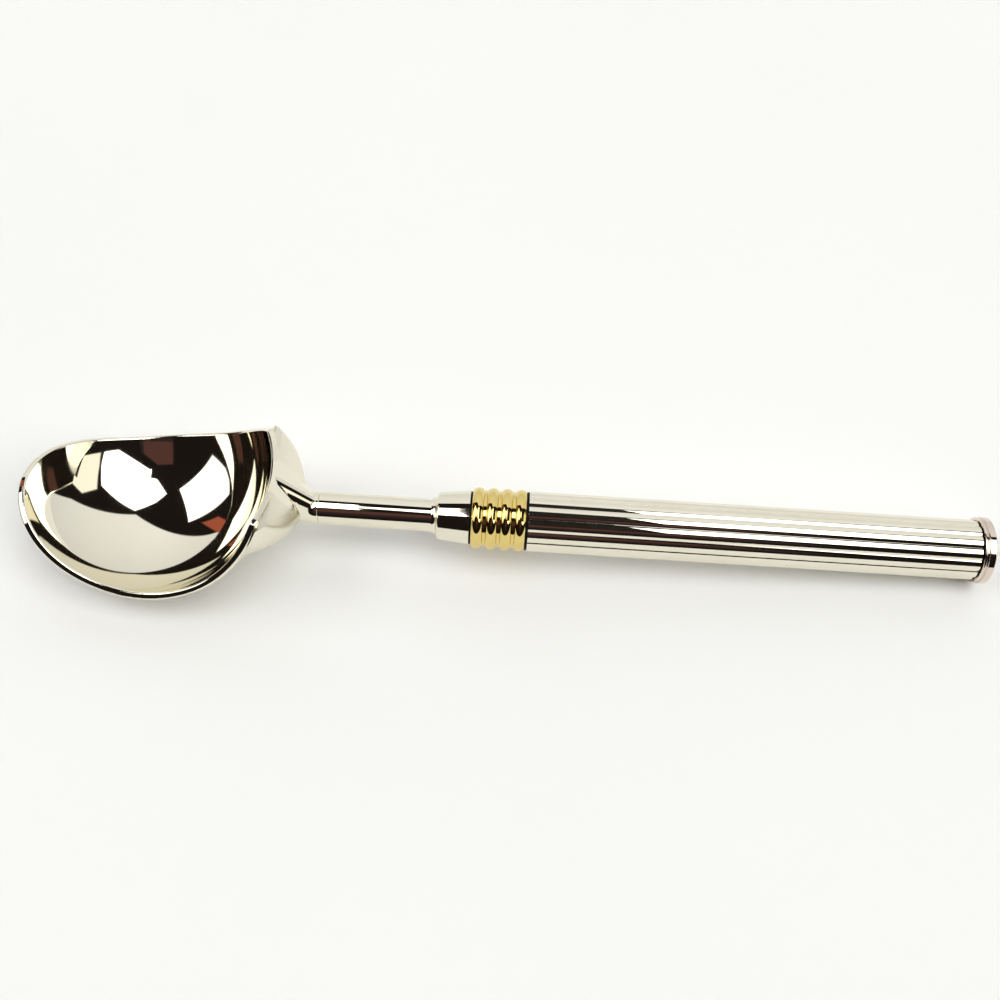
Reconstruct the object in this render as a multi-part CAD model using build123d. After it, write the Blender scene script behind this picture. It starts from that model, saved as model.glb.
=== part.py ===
from build123d import *
import math
import os

# An ice cream scoop: a polished round bowl on a plain neck, with a handle stacked from turned
# rings and a fluted tube, all clamped by a rod inside. Millimetres throughout.
# The tool is drawn with the handle's axis along X at z = 0, and x = 0 where the bowl's stem
# meets the neck. It is laid down at the end as it rests on a table.

# Bowl
bowl_radius = 32.8
bowl_wall = 1.8
bowl_setback = 8.7
bowl_centre_height = 14.4
rim_tip_height = 3.9
rim_dip_height = -8.0
rim_dip_offset = 4.0
rim_rear_height = 13.5
rim_rear_width = 27.0
rim_rear_slope = 67.0
rim_corner_round = 0.8
rim_dip_reach = 0.56
rim_rear_reach = 0.34
rim_edge_round = 0.5
rim_ledge = 0.6

# Heel behind the bowl
heel_radius = 17.0
heel_setback = 2.0
heel_centre_height = 9.0
crest_land = 0.8
crest_plan_radius = 300.0
heel_foot_inset = 1.2
heel_crest_bulge = 0.5
heel_crest_round = 2.5
heel_bowl_blend = 5.0
heel_sink = 0.05
heel_stem_blend = 2.0
stem_bend_radius = 5.4
stem_rise = 47.0

# Neck
neck_diameter = 8.1
neck_length = 28.8
neck_tail = 5.0
neck_edge_break = 0.2
spigot_diameter = 5.0
spigot_length = 8.0

# Ferrule
ferrule_length = 8.0
ferrule_front_diameter = 11.7
ferrule_rear_diameter = 13.4
ferrule_edge_round = 0.7
ferrule_cove = 1.3
ferrule_lip = 0.3
ferrule_web = 1.5

# Gaskets
ferrule_gasket_thickness = 0.55
collar_gasket_thickness = 0.5
rear_gasket_thickness = 0.3
gasket_inset = 0.25

# Bead collar
bead_count = 4
bead_pitch = 3.47
bead_width = 2.8
bead_height = 0.7
collar_diameter = 15.2

# Fluted tube
tube_diameter = 14.7
tube_length = 108.8
tube_wall = 0.9
rib_count = 14
rib_radius = 2.5
bush_length = 11.0
bush_lead = 3.7

# End ring and cap
ring_diameter = 16.3
ring_width = 2.7
ring_bead_width = 0.75
ring_bead_height = 0.2
ring_groove_width = 0.25
ring_groove_depth = 0.3
ring_edge_round = 0.25
washer_thickness = 0.8
cap_diameter = 10.6
cap_height = 3.4
cap_shank_diameter = 8.0
cap_shank_length = 10.0

# Tie rod and nut
rod_diameter = 5.0
rod_engagement = 12.0
nut_thickness = 2.7
nut_across_flats = 8.0

# Fits, each on the radius
thread_gap = 0.05
fit_gap = 0.05
slip_gap = 0.15

# Shares of a rounding to try in turn
rounding_shares = (1.0, 0.9, 0.8, 0.65, 0.5, 0.35)

# Worked-out places along the handle
neck_radius = neck_diameter / 2
ferrule_start = neck_length
ferrule_end = ferrule_start + ferrule_length
collar_start = ferrule_end + ferrule_gasket_thickness
collar_length = bead_pitch * (bead_count - 1) + bead_width
collar_end = collar_start + collar_length
tube_start = collar_end + collar_gasket_thickness
tube_end = tube_start + tube_length
ring_start = tube_end + rear_gasket_thickness
ring_end = ring_start + ring_width
neck_end = neck_length + neck_tail
web_end = neck_end + ferrule_web
nut_end = web_end + nut_thickness
shank_start = ring_end - cap_shank_length

# Worked-out sizes across the handle
rod_radius = rod_diameter / 2
rod_hole = rod_radius + slip_gap
thread_hole = rod_radius + thread_gap
nut_corner_radius = nut_across_flats / 2 / math.cos(math.pi / 6)
nut_pocket = nut_corner_radius + slip_gap
rib_ring = tube_diameter / 2 - rib_radius
rib_half_turn = math.pi / rib_count
rib_valley_reach = math.sqrt(rib_radius**2 - (rib_ring * math.sin(rib_half_turn)) ** 2)
rib_valley = rib_ring * math.cos(rib_half_turn) + rib_valley_reach
tube_bore = rib_valley - tube_wall
shank_hole = cap_shank_diameter / 2 + slip_gap
washer_radius = cap_diameter / 2 - gasket_inset

# Worked-out places of the bowl
bowl_x = -(bowl_radius + bowl_setback)
heel_x = -(heel_radius + heel_setback)
spigot_radius = spigot_diameter / 2


def ball(radius, x, z):
    """A sphere whose poles and seam lie where the rim cut takes them away."""
    return Pos(x, 0, z) * Rotation(0, -90, 0) * Rotation(90, 0, 0) * Sphere(radius)


def tube(start, end, outer, inner):
    """A plain ring round the handle's axis."""
    place = Plane.YZ.offset(start)
    return extrude(place * (Circle(outer) - Circle(inner)), end - start)


def bar(start, end, radius):
    """A plain round bar along the handle's axis."""
    return extrude(Plane.YZ.offset(start) * Circle(radius), end - start)


def turned(*edges):
    """A piece turned round the handle's axis from its outline above the axis."""
    return revolve(make_face(Plane.XZ * Curve(edges)), Axis.X)


def across(outline):
    """A cutter with a side-view outline, running right across the tool."""
    return extrude(Plane.XZ.offset(-2 * bowl_radius) * outline, 4 * bowl_radius)


def rounded(body, edges, radius):
    """The body with some edges rounded, by less than the radius where that does not fit."""
    for share in rounding_shares:
        try:
            return body.fillet(share * radius, edges)
        except ValueError:
            continue
    return body


def rim_cutter():
    """All that is cut away above the rim: the tip up, the sides down, the rear corners high."""
    tip_rise = rim_tip_height - bowl_centre_height
    tip_x = bowl_x - math.sqrt(bowl_radius**2 - tip_rise**2)
    dip_x = bowl_x - rim_dip_offset
    front_x = bowl_x - bowl_radius - bowl_wall
    front_rise = (rim_tip_height - rim_dip_height) * ((front_x - dip_x) / (tip_x - dip_x)) ** 2
    front = Bezier(
        (front_x, rim_dip_height + front_rise),
        ((front_x + dip_x) / 2, rim_dip_height),
        (dip_x, rim_dip_height),
    )
    rear_rise = rim_rear_height - bowl_centre_height
    corner_x = bowl_x + math.sqrt(bowl_radius**2 - rear_rise**2 - (rim_rear_width / 2) ** 2)
    span = corner_x - dip_x
    slope = math.radians(rim_rear_slope)
    reach = rim_rear_reach * span
    rear = Bezier(
        front @ 1,
        (dip_x + rim_dip_reach * span, rim_dip_height),
        (corner_x - reach * math.cos(slope), rim_rear_height - reach * math.sin(slope)),
        (corner_x, rim_rear_height),
    )
    high = bowl_centre_height + 2 * bowl_radius
    behind = neck_length
    rest = Polyline(rear @ 1, (behind, rim_rear_height), (behind, high), (front_x, high), front @ 0)
    outline = make_face(Curve([front, rear, rest]))
    corner = outline.vertices().sort_by_distance(rear @ 1)[0]
    return across(fillet(corner, rim_corner_round))


def crest_cutter(land):
    """All that is cut away behind the rear rim, so that the heel's back falls from it in a shallow bow."""
    top = (bowl_x + bowl_radius - bowl_wall + land, rim_rear_height)
    foot = (-(heel_setback + heel_foot_inset), neck_radius / 2)
    bow = SagittaArc(top, foot, heel_crest_bulge)
    high = bowl_centre_height + 2 * bowl_radius
    rest = Polyline(foot, (neck_length, foot[1]), (neck_length, high), (top[0], high), top)
    pivot = Axis((top[0] - crest_plan_radius, 0, 0), (0, 0, 1))
    return revolve(Plane.XZ * make_face(Curve([bow, rest])), pivot)


def shell(rim_cut):
    """The round bowl, its rim square to the wall all the way round and its edges rounded."""
    outside = ball(bowl_radius, bowl_x, bowl_centre_height) - rim_cut
    skin = outside.faces().filter_by(GeomType.SPHERE).sort_by(SortBy.AREA)[-1]
    cup = thicken(skin, -bowl_wall)
    rim = [edge for edge in cup.edges() if edge.geom_type != GeomType.LINE]
    return rounded(cup, rim, rim_edge_round) - crest_cutter(crest_land)


def heel(rim_cut):
    """The solid heel behind the bowl, stopping short of the rim, with the stem that meets the neck."""
    base = ball(bowl_radius - heel_sink, bowl_x, bowl_centre_height)
    lump = ball(heel_radius, heel_x, heel_centre_height)
    body = base + lump
    body = rounded(body, new_edges(base, lump, combined=body), heel_bowl_blend)
    body = body - crest_cutter(crest_land - heel_sink) - Pos(0, 0, -rim_ledge) * rim_cut
    crest_edge = body.edges().filter_by(GeomType.BSPLINE).sort_by(Axis.X)[-1]
    body = rounded(body, [crest_edge], heel_crest_round)
    stem = bent_stem() - Pos(0, 0, -rim_ledge) * rim_cut
    joined = body + stem
    root = [edge for edge in new_edges(body, stem, combined=joined) if edge.center().X < -neck_edge_break]
    body = rounded(joined, root, heel_stem_blend)
    return body - ball(bowl_radius - bowl_wall / 2, bowl_x, bowl_centre_height)


def bent_stem():
    """The round stem: it meets the neck, bends up and runs along the heel's back to the rear rim."""
    lead = Line((0, 0), (-2 * neck_edge_break, 0))
    bend = JernArc(lead @ 1, lead % 1, stem_bend_radius, -stem_rise)
    climb = Line(bend @ 1, bend @ 1 + rim_rear_height / math.sin(math.radians(stem_rise)) * (bend % 1))
    rod = sweep(Plane.YZ * Circle(neck_radius), path=Plane.XZ * Curve([lead, bend, climb]))
    return chamfer(rod.edges().sort_by(Axis.X)[-1], neck_edge_break)


def bowl():
    """The bowl with the heel and stem behind it, and the spigot that enters the neck."""
    rim_cut = rim_cutter()
    body = shell(rim_cut) + heel(rim_cut)
    return body + bar(-neck_radius, spigot_length, spigot_radius)


def neck():
    """The plain neck bar, bored for the bowl's spigot in front and for the rod behind."""
    blank = chamfer(bar(0, neck_end, neck_radius).edges().sort_by(Axis.X)[0], neck_edge_break)
    spigot_hole = bar(0, spigot_length + slip_gap, spigot_radius + fit_gap)
    rod_socket = bar(neck_end - rod_engagement - slip_gap, neck_end, thread_hole)
    return blank - spigot_hole - rod_socket


def ferrule():
    """The tapered sleeve that swallows the end of the neck, with a cove where they meet."""
    front = ferrule_front_diameter / 2
    rear = ferrule_rear_diameter / 2
    lip = neck_radius + fit_gap + ferrule_lip
    bore = neck_radius + fit_gap
    cove_start = ferrule_start - ferrule_cove
    face_height = front - ferrule_edge_round
    cove = EllipticalCenterArc(
        (cove_start, face_height), ferrule_cove, face_height - lip, start_angle=270, arc_size=90
    )
    shoulder_end = (ferrule_start + ferrule_edge_round, front)
    shoulder = RadiusArc((ferrule_start, face_height), shoulder_end, ferrule_edge_round)
    rest = Polyline(
        shoulder @ 1,
        (ferrule_end, rear),
        (ferrule_end, nut_pocket),
        (web_end, nut_pocket),
        (web_end, rod_hole),
        (neck_end, rod_hole),
        (neck_end, bore),
        (cove_start, bore),
        (cove_start, lip),
    )
    return turned(cove, shoulder, rest)


def gasket(start, thickness, around, inner):
    """A thin ring set a little below the piece in front of it."""
    return tube(start, start + thickness, around / 2 - gasket_inset, inner)


def lock_nut():
    """The hexagon nut that holds the ferrule on the neck."""
    place = Plane.YZ.offset(web_end)
    outline = RegularPolygon(nut_corner_radius, 6) - Circle(thread_hole)
    return extrude(place * outline, nut_thickness)


def bead_collar():
    """The collar with its row of turned beads and a pocket in front for the lock nut."""
    groove = collar_diameter / 2 - bead_height
    edges = []
    for number in range(bead_count):
        start = collar_start + number * bead_pitch
        bead = SagittaArc((start, groove), (start + bead_width, groove), bead_height)
        edges.append(bead)
        if number < bead_count - 1:
            edges.append(Line(bead @ 1, (start + bead_pitch, groove)))
    pocket_end = nut_end + slip_gap
    rest = Polyline(
        (collar_end, groove),
        (collar_end, rod_hole),
        (pocket_end, rod_hole),
        (pocket_end, nut_pocket),
        (collar_start, nut_pocket),
        (collar_start, groove),
    )
    return turned(*edges, rest)


def fluted_tube():
    """The grip: a thin tube ribbed all round, with sharp flutes between the rounded ribs."""
    ribs = PolarLocations(rib_ring, rib_count) * Circle(rib_radius)
    outline = Circle(rib_ring) + ribs - Circle(tube_bore)
    return extrude(Plane.YZ.offset(tube_start) * outline, tube_length)


def front_bush():
    """The bush that centres the tube's front end on the rod."""
    return tube(tube_start, tube_start + bush_length, tube_bore - fit_gap, rod_hole)


def rear_bush():
    """The bush that centres the tube's rear end, opened out behind for the cap's shank."""
    start = shank_start - bush_lead
    blank = tube(start, tube_end, tube_bore - fit_gap, rod_hole)
    return blank - bar(shank_start - slip_gap, tube_end, shank_hole)


def end_ring():
    """The wide ring at the handle's end: a narrow bead, a groove and a broad rounded band."""
    outer = ring_diameter / 2
    groove = outer - ring_groove_depth
    edge = ring_edge_round
    bead = SagittaArc((ring_start, groove), (ring_start + ring_bead_width, groove), ring_bead_height)
    band_start = ring_start + ring_bead_width + ring_groove_width
    front_edge = RadiusArc((band_start, outer - edge), (band_start + edge, outer), edge)
    rear_edge = RadiusArc((ring_end - edge, outer), (ring_end, outer - edge), edge)
    recess = ring_end - washer_thickness
    rest = Polyline(
        rear_edge @ 1,
        (ring_end, washer_radius + slip_gap),
        (recess, washer_radius + slip_gap),
        (recess, shank_hole),
        (ring_start, shank_hole),
        bead @ 0,
    )
    step = Polyline(bead @ 1, (band_start, groove), front_edge @ 0)
    return turned(bead, step, front_edge, Line(front_edge @ 1, rear_edge @ 0), rear_edge, rest)


def cap_washer():
    """The washer that the cap bears on, sunk in the end ring."""
    return tube(ring_end - washer_thickness, ring_end, washer_radius, shank_hole)


def dome_cap():
    """The domed button at the very end, with a threaded shank that draws the rod tight."""
    base = cap_diameter / 2
    shank = cap_shank_diameter / 2
    rod_end = ring_end + thread_gap
    dome_radius = (base**2 + cap_height**2) / (2 * cap_height)
    dome = RadiusArc((ring_end, base), (ring_end + cap_height, 0), dome_radius)
    rest = Polyline(
        dome @ 1,
        (rod_end, 0),
        (rod_end, thread_hole),
        (shank_start, thread_hole),
        (shank_start, shank),
        (ring_end, shank),
        (ring_end, base),
    )
    return turned(dome, rest)


def tie_rod():
    """The rod that runs from the neck to the cap and clamps the handle together."""
    return bar(neck_end - rod_engagement, ring_end, rod_radius)


def rest_tilt():
    """The angle that lets the bowl's belly and the end ring touch the table together."""
    rise = bowl_centre_height + ring_diameter / 2
    run = ring_end - ring_edge_round - bowl_x
    return math.degrees(math.atan2(run, rise) - math.acos(bowl_radius / math.hypot(run, rise)))


shapes = {
    "scoop_bowl": bowl(),
    "neck_shank": neck(),
    "ferrule": ferrule(),
    "neck_lock_nut": lock_nut(),
    "ferrule_gasket": gasket(ferrule_end, ferrule_gasket_thickness, ferrule_rear_diameter, nut_pocket),
    "bead_collar": bead_collar(),
    "collar_gasket": gasket(collar_end, collar_gasket_thickness, tube_diameter, rod_hole),
    "fluted_tube": fluted_tube(),
    "front_bush": front_bush(),
    "rear_bush": rear_bush(),
    "rear_gasket": gasket(tube_end, rear_gasket_thickness, tube_diameter, shank_hole),
    "end_ring": end_ring(),
    "cap_washer": cap_washer(),
    "dome_cap": dome_cap(),
    "tie_rod": tie_rod(),
}

# Lay the tool down on the table, with the origin under its middle
laid = {node: Rotation(0, rest_tilt(), 0) * shape for node, shape in shapes.items()}
box = Compound(list(laid.values())).bounding_box()
on_table = Pos(-box.center().X, 0, -box.min.Z)

os.makedirs("parts", exist_ok=True)
for node, shape in laid.items():
    export_step(on_table * shape, f"parts/{node}.step")
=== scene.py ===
import math

import bpy
from mathutils import Matrix, Vector

# Dresses the packed ice cream scoop: polished silver and gold on a pale table, seen from above.
# Metres and degrees, with the camera's lens and sensor in millimetres.
# +X runs from the bowl to the handle's end, +Z is up.

# Camera, at angles to the tool's own plane, which tilts as the tool rests
rest_tilt = 2.887
camera_target = (-0.0028, 0.0, 0.0141)
camera_distance = 0.2819
camera_height_angle = 60.0
camera_roll = 3.67
camera_aim_up = 0.971
camera_lens = 41.4
camera_sensor = 36.0

# Studio patches, each corner as (angle to the side, angle over the top from the near horizon)
back_wall = ((-58, 160), (-42, 117), (0, 107.5), (13, 105.5), (62, 138), (66, 184), (-64, 184))
right_panel = (
    (-18, 78), (0, 91), (12.5, 104.5), (30, 97.5), (47, 90),
    (51, 60), (48, 42), (22, 41), (8, 62),
)
left_panel = ((-19.5, 78.5), (-31, 112.5), (-68.5, 106), (-69.5, 80), (-65, 57.5), (-50, 42.5))
left_panel_inner = ((-19.5, 78.5), (-31, 112.5), (-40, 111), (-40, 60.5))
warm_panel = ((49, 91), (60, 113), (84, 118), (84, 42), (50, 42), (53, 60))
dark_notch = ((-19, 73), (8, 69), (8, 58), (-19, 58))
brown_cloth = ((-12, 56), (2, 57), (16, 46), (18, 20), (-12, 20))
rust_cloth = ((-11.5, 55.5), (2, 56.5), (14, 46.5), (14, 36), (-11.5, 36))
red_cloth = ((-61, 150), (-54, 157), (-42, 119), (-56, 126))

# Half the width of a patch's soft edge, as the sine of an angle
panel_edge = 0.012

# Brightness of the panels, and of the wall low down and high up, where 1 is white
right_level = 3.38
left_level = 1.7
left_inner_level = 3.0
warm_level = 1.2
wall_low_level = 0.78
wall_high_level = 1.0

# Height of a direction that is level, and of one straight up
horizon = 0.0
zenith = 1.0

# Colours of the studio
black = (0.0, 0.0, 0.0)
white = (1.0, 1.0, 1.0)
warm_white = (1.0, 0.96, 0.84)
dark_room = (0.012, 0.009, 0.008)
brown = (0.03, 0.02, 0.021)
rust = (0.095, 0.042, 0.036)
red = (0.4, 0.1, 0.055)

# Strip lamp for the highlight on the neck, turned to face it
strip_place = (-0.0595, -0.0308, 0.1942)
strip_width = 0.0175
strip_length = 0.1056
strip_over = 80.5
strip_level = 5.0

# Black card above the front of the tube
card_corners = (
    (0.0065, -0.0241, 0.0494),
    (0.0450, -0.0241, 0.0494),
    (0.0300, 0.0108, 0.0555),
    (0.0065, 0.0108, 0.0555),
)
card_roughness = 0.9

# Table
table_size = 6.0
table_colour = (0.94, 0.945, 0.925)
table_cloud_scale = 6.0
table_cloud_detail = 2.0
table_cloud_shade = 0.985
table_roughness = 0.7
table_specular = 0.2

# Finishes: colour, roughness and, for metals, the share of each colour part that tarnish leaves
silver_colour = (0.86, 0.825, 0.69)
silver_roughness = 0.04
silver_tarnish = (0.96, 0.95, 0.93)
gold_colour = (0.79, 0.63, 0.235)
gold_roughness = 0.05
gold_tarnish = (0.97, 0.94, 0.88)
pale_gold_colour = (0.76, 0.67, 0.58)
pale_gold_roughness = 0.06
pale_gold_tarnish = (0.96, 0.94, 0.92)
steel_colour = (0.55, 0.55, 0.56)
steel_roughness = 0.3
steel_tarnish = (0.8, 0.8, 0.8)
rubber_colour = (0.004, 0.0035, 0.0035)
rubber_roughness = 0.6
plastic_colour = (0.03, 0.03, 0.032)
plastic_roughness = 0.5

# Wear on the metals: clouds of tarnish, uneven gloss and polishing marks
cloud_scale = 60.0
cloud_detail = 3.0
gloss_scale = 140.0
gloss_detail = 4.0
gloss_low = 0.6
gloss_high = 1.4
scratch_scale = 900.0
scratch_detail = 2.0
scratch_strength = 0.02
scratch_depth = 0.00002

# Stretch of a noise along each axis: the same all round, or drawn out along the handle
even = (1, 1, 1)
along_handle = (0.05, 1, 1)

# Grain of rubber, plastic and card
grain_scale = 1500.0
grain_detail = 3.0
grain_pale = 1.6
grain_gloss_low = 0.85
grain_gloss_high = 1.15
grain_strength = 0.2
grain_depth = 0.00005
matte_specular = 0.1

# Flanks of the heel, which a polishing wheel misses: start to full along X, inner to outer along Y
flank_start = -0.0600
flank_full = -0.0560
flank_inner = 0.0028
flank_outer = 0.0055
flank_roughness = 0.25

# Range that noise values seldom leave
noise_low = 0.3
noise_high = 0.7

# Socket numbers of the mix node when it mixes colours
mix_share = 0
mix_first = 6
mix_second = 7
mix_result = 2

# Plain constants
main_shader = "Principled BSDF"
matrix_size = 4
opaque = 1.0
right_angle = 90.0


def toward(side, over):
    """The direction at an angle to the side and an angle over the top from the near horizon."""
    aside = math.radians(side)
    raised = math.radians(over)
    upright = math.cos(aside)
    return Vector((math.sin(aside), -upright * math.cos(raised), upright * math.sin(raised)))


def shade(colour, share):
    """A colour made darker or brighter by a share."""
    return tuple(share * part for part in colour)


def node(tree, kind, **settings):
    """A new shader node, with the settings given."""
    made = tree.nodes.new(kind)
    for name, value in settings.items():
        setattr(made, name, value)
    return made


def feed(tree, socket, value):
    """Fills a socket with a number, a plain colour or the output of another node."""
    if isinstance(value, bpy.types.NodeSocket):
        tree.links.new(value, socket)
    elif isinstance(value, (int, float)):
        socket.default_value = value
    else:
        socket.default_value = (*value, opaque)


def math_node(tree, operation, *values):
    """A maths node on one or two values, each a number or the output of another node."""
    made = node(tree, "ShaderNodeMath", operation=operation)
    for socket, value in zip(made.inputs, values):
        feed(tree, socket, value)
    return made.outputs[0]


def mix_colour(tree, share, first, second):
    """A colour mixed from two, each a plain colour or the output of another node."""
    made = node(tree, "ShaderNodeMix", data_type="RGBA")
    feed(tree, made.inputs[mix_share], share)
    feed(tree, made.inputs[mix_first], first)
    feed(tree, made.inputs[mix_second], second)
    return made.outputs[mix_result]


def ramp(tree, value, start, end, low=0.0, high=1.0, curve="LINEAR"):
    """A value that goes from low to high while another goes from start to end."""
    made = node(tree, "ShaderNodeMapRange", interpolation_type=curve)
    tree.links.new(value, made.inputs["Value"])
    limits = {"From Min": start, "From Max": end, "To Min": low, "To Max": high}
    for name, limit in limits.items():
        made.inputs[name].default_value = limit
    return made.outputs["Result"]


def rise(tree, value, start, end):
    """A smooth climb from 0 to 1 while a value goes from start to end."""
    return ramp(tree, value, start, end, curve="SMOOTHSTEP")


def between(tree, value, low=0.0, high=1.0):
    """A noise value spread over the range from low to high."""
    return ramp(tree, value, noise_low, noise_high, low, high)


def noise(tree, scale, detail, stretch=even):
    """Noise fixed to the object, drawn out along any axis whose stretch is small."""
    place = node(tree, "ShaderNodeTexCoord").outputs["Object"]
    mapping = node(tree, "ShaderNodeMapping")
    tree.links.new(place, mapping.inputs["Vector"])
    mapping.inputs["Scale"].default_value = stretch
    made = node(tree, "ShaderNodeTexNoise")
    tree.links.new(mapping.outputs[0], made.inputs["Vector"])
    made.inputs["Scale"].default_value = scale
    made.inputs["Detail"].default_value = detail
    return made.outputs["Fac"]


def patch(tree, direction, corners):
    """How far inside a flat-sided patch of the surroundings a direction lies: 0 to 1 over its edge."""
    rays = [toward(*corner) for corner in corners]
    middle = sum(rays, Vector())
    inside = None
    for ray, following in zip(rays, rays[1:] + rays[:1]):
        normal = ray.cross(following).normalized()
        if normal.dot(middle) < 0:
            normal = -normal
        dot = node(tree, "ShaderNodeVectorMath", operation="DOT_PRODUCT")
        tree.links.new(direction, dot.inputs[0])
        dot.inputs[1].default_value = normal
        side = dot.outputs["Value"]
        inside = side if inside is None else math_node(tree, "MINIMUM", inside, side)
    return rise(tree, inside, -panel_edge, panel_edge)


def studio():
    """A dark room with pale panels overhead and a pale wall behind; white where the camera sees it."""
    world = bpy.data.worlds.new("studio")
    bpy.context.scene.world = world
    world.use_nodes = True
    tree = world.node_tree
    tree.nodes.clear()
    direction = node(tree, "ShaderNodeTexCoord").outputs["Generated"]
    parts = node(tree, "ShaderNodeSeparateXYZ")
    tree.links.new(direction, parts.inputs[0])
    wall_level = ramp(tree, parts.outputs["Z"], horizon, zenith, wall_low_level, wall_high_level)
    wall_colour = mix_colour(tree, wall_level, black, white)
    colour = mix_colour(tree, patch(tree, direction, back_wall), dark_room, wall_colour)
    patches = (
        (left_panel, shade(white, left_level)),
        (left_panel_inner, shade(white, left_inner_level)),
        (right_panel, shade(white, right_level)),
        (warm_panel, shade(warm_white, warm_level)),
        (dark_notch, dark_room),
        (brown_cloth, brown),
        (rust_cloth, rust),
        (red_cloth, red),
    )
    for corners, tint in patches:
        colour = mix_colour(tree, patch(tree, direction, corners), colour, tint)
    seen = node(tree, "ShaderNodeLightPath").outputs["Is Camera Ray"]
    colour = mix_colour(tree, seen, colour, white)
    background = node(tree, "ShaderNodeBackground")
    tree.links.new(colour, background.inputs["Color"])
    output = node(tree, "ShaderNodeOutputWorld")
    tree.links.new(background.outputs[0], output.inputs["Surface"])


def material(name):
    """A new node material, with its node tree and its main shader."""
    made = bpy.data.materials.new(name)
    made.use_nodes = True
    return made, made.node_tree, made.node_tree.nodes[main_shader]


def relief(tree, shader, height, strength, depth):
    """A faint relief on a surface."""
    bump = node(tree, "ShaderNodeBump")
    bump.inputs["Strength"].default_value = strength
    bump.inputs["Distance"].default_value = depth
    tree.links.new(height, bump.inputs["Height"])
    tree.links.new(bump.outputs[0], shader.inputs["Normal"])


def metal(name, colour, roughness, tarnish, scratch_stretch=even):
    """Polished metal: a faint cloud of tarnish, uneven gloss and hairline polishing marks."""
    made, tree, shader = material(name)
    shader.inputs["Metallic"].default_value = 1.0
    cloud = between(tree, noise(tree, cloud_scale, cloud_detail))
    dull = tuple(part * share for part, share in zip(colour, tarnish))
    tree.links.new(mix_colour(tree, cloud, colour, dull), shader.inputs["Base Color"])
    gloss = noise(tree, gloss_scale, gloss_detail)
    uneven = between(tree, gloss, gloss_low * roughness, gloss_high * roughness)
    tree.links.new(uneven, shader.inputs["Roughness"])
    scratches = noise(tree, scratch_scale, scratch_detail, scratch_stretch)
    relief(tree, shader, scratches, scratch_strength, scratch_depth)
    return made


def dull_flanks(made):
    """Takes the shine off the heel on both sides of the stem."""
    tree = made.node_tree
    shader = tree.nodes[main_shader]
    parts = node(tree, "ShaderNodeSeparateXYZ")
    tree.links.new(node(tree, "ShaderNodeTexCoord").outputs["Object"], parts.inputs[0])
    aside = math_node(tree, "ABSOLUTE", parts.outputs["Y"])
    behind = rise(tree, parts.outputs["X"], flank_start, flank_full)
    flank = math_node(tree, "MULTIPLY", behind, rise(tree, aside, flank_inner, flank_outer))
    extra = math_node(tree, "MULTIPLY", flank, flank_roughness)
    gloss = shader.inputs["Roughness"].links[0].from_socket
    tree.links.new(math_node(tree, "ADD", gloss, extra), shader.inputs["Roughness"])
    return made


def matte(name, colour, roughness):
    """A dull material: a fine grain in colour, gloss and surface."""
    made, tree, shader = material(name)
    grain = noise(tree, grain_scale, grain_detail)
    pale = shade(colour, grain_pale)
    tree.links.new(mix_colour(tree, between(tree, grain), colour, pale), shader.inputs["Base Color"])
    uneven = between(tree, grain, grain_gloss_low * roughness, grain_gloss_high * roughness)
    tree.links.new(uneven, shader.inputs["Roughness"])
    shader.inputs["Specular IOR Level"].default_value = matte_specular
    relief(tree, shader, grain, grain_strength, grain_depth)
    return made


def silver():
    """Silver plate."""
    return metal("silver", silver_colour, silver_roughness, silver_tarnish)


def bowl_silver():
    """The same plate on the bowl, satin on the flanks of the heel."""
    return dull_flanks(metal("bowl_silver", silver_colour, silver_roughness, silver_tarnish))


def gold():
    """Gold plate on the beaded collar."""
    return metal("gold", gold_colour, gold_roughness, gold_tarnish)


def pale_gold():
    """Paler gold plate on the end ring."""
    return metal("pale_gold", pale_gold_colour, pale_gold_roughness, pale_gold_tarnish)


def steel():
    """Plain steel of the inner pieces, with marks drawn out along the handle."""
    return metal("steel", steel_colour, steel_roughness, steel_tarnish, along_handle)


def rubber():
    """Black rubber of the gaskets."""
    return matte("rubber", rubber_colour, rubber_roughness)


def plastic():
    """Dark plastic of the bushes."""
    return matte("plastic", plastic_colour, plastic_roughness)


def table_top():
    """Pale, nearly even surface of the table."""
    made, tree, shader = material("table")
    cloud = between(tree, noise(tree, table_cloud_scale, table_cloud_detail))
    soft = shade(table_colour, table_cloud_shade)
    tree.links.new(mix_colour(tree, cloud, table_colour, soft), shader.inputs["Base Color"])
    shader.inputs["Roughness"].default_value = table_roughness
    shader.inputs["Specular IOR Level"].default_value = table_specular
    return made


def dress(pieces):
    """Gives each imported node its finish."""
    finishes = (
        (silver(), ("neck_shank", "ferrule", "fluted_tube", "dome_cap")),
        (bowl_silver(), ("scoop_bowl",)),
        (gold(), ("bead_collar",)),
        (pale_gold(), ("end_ring",)),
        (rubber(), ("ferrule_gasket", "collar_gasket", "rear_gasket")),
        (plastic(), ("front_bush", "rear_bush")),
        (steel(), ("tie_rod", "neck_lock_nut", "cap_washer")),
    )
    for finish, names in finishes:
        for name in names:
            slots = pieces[name].data.materials
            slots.clear()
            slots.append(finish)


def sheet(name, corners, finish):
    """A flat piece of the studio, of one face."""
    mesh = bpy.data.meshes.new(name)
    mesh.from_pydata(corners, [], [tuple(range(len(corners)))])
    mesh.materials.append(finish)
    piece = bpy.data.objects.new(name, mesh)
    bpy.context.scene.collection.objects.link(piece)
    return piece


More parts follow.
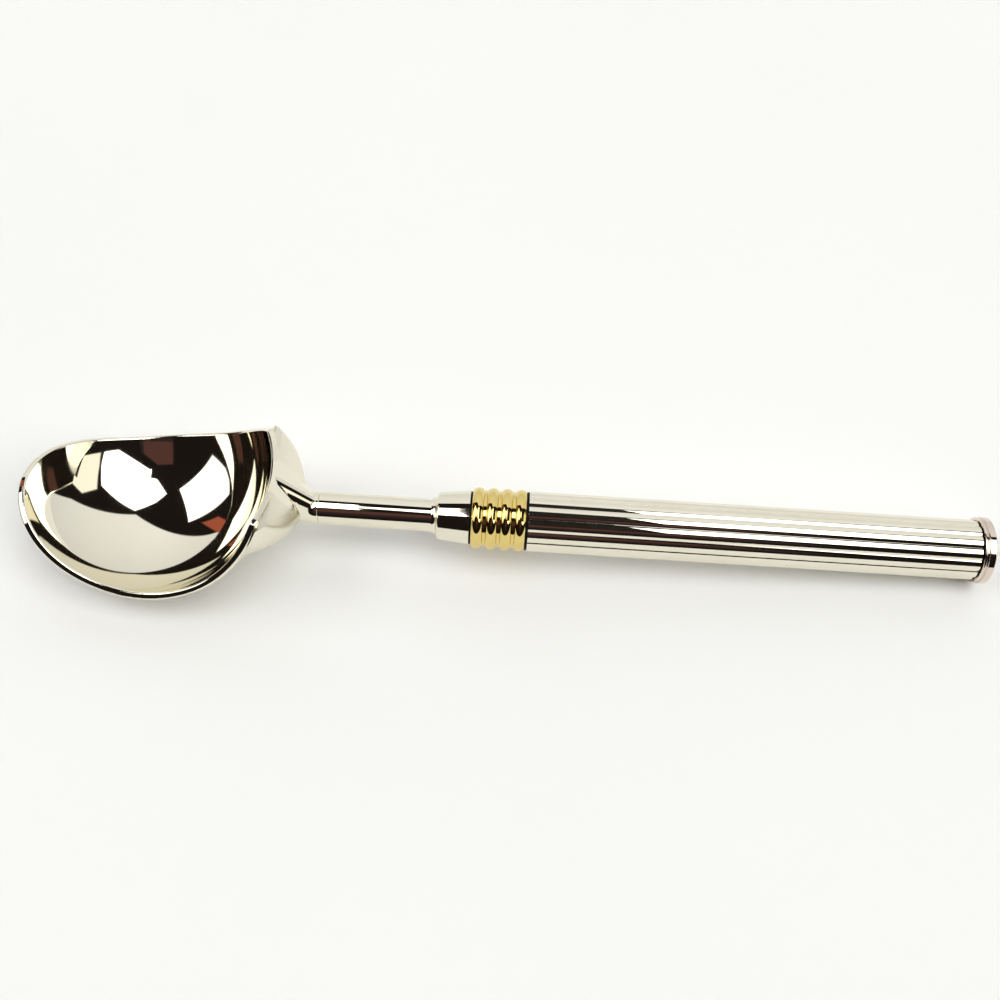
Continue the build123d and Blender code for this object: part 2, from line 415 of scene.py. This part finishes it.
def table():
    """The pale table that the scoop lies on."""
    half = table_size / 2
    corners = ((-half, -half, 0), (half, -half, 0), (half, half, 0), (-half, half, 0))
    piece = sheet("table", corners, table_top())


def black_card():
    """A black card that keeps the panels out of the front of the tube; only reflections show it."""
    piece = sheet("black_card", card_corners, matte("card", dark_room, card_roughness))
    piece.visible_camera = False
    piece.visible_diffuse = False
    piece.visible_shadow = False


def strip_lamp():
    """A narrow soft lamp above the tool; only reflections show it."""
    data = bpy.data.lights.new("strip_lamp", "AREA")
    data.shape = "RECTANGLE"
    data.size = strip_width
    data.size_y = strip_length
    data.energy = strip_level * math.pi * strip_width * strip_length
    piece = bpy.data.objects.new("strip_lamp", data)
    piece.location = strip_place
    piece.rotation_euler.x = math.radians(right_angle - strip_over)
    piece.visible_camera = False
    piece.visible_diffuse = False
    bpy.context.scene.collection.objects.link(piece)


def turned(angle, axis):
    """A turn about an axis, by an angle in degrees."""
    return Matrix.Rotation(math.radians(angle), matrix_size, axis)


def camera():
    """The camera at the photograph's angle: set back from its target, then rolled and aimed up."""
    data = bpy.data.cameras.new("camera")
    data.sensor_width = camera_sensor
    data.lens = camera_lens
    piece = bpy.data.objects.new("camera", data)
    bpy.context.scene.collection.objects.link(piece)
    look = turned(rest_tilt, "Y") @ turned(right_angle - camera_height_angle, "X")
    backward = look.col[2].to_3d()
    eye = Vector(camera_target) + camera_distance * backward
    turn = turned(camera_roll, "Z") @ turned(camera_aim_up, "X")
    piece.matrix_world = Matrix.Translation(eye) @ look @ turn
    bpy.context.scene.camera = piece


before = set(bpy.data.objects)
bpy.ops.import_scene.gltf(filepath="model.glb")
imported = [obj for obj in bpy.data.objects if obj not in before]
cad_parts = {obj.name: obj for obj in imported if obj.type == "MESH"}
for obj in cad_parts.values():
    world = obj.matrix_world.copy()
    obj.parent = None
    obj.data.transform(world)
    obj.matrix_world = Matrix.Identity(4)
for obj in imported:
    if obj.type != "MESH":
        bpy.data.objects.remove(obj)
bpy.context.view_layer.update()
bpy.context.scene.view_settings.view_transform = "Standard"
studio()
strip_lamp()
table()
black_card()
dress(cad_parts)
camera()
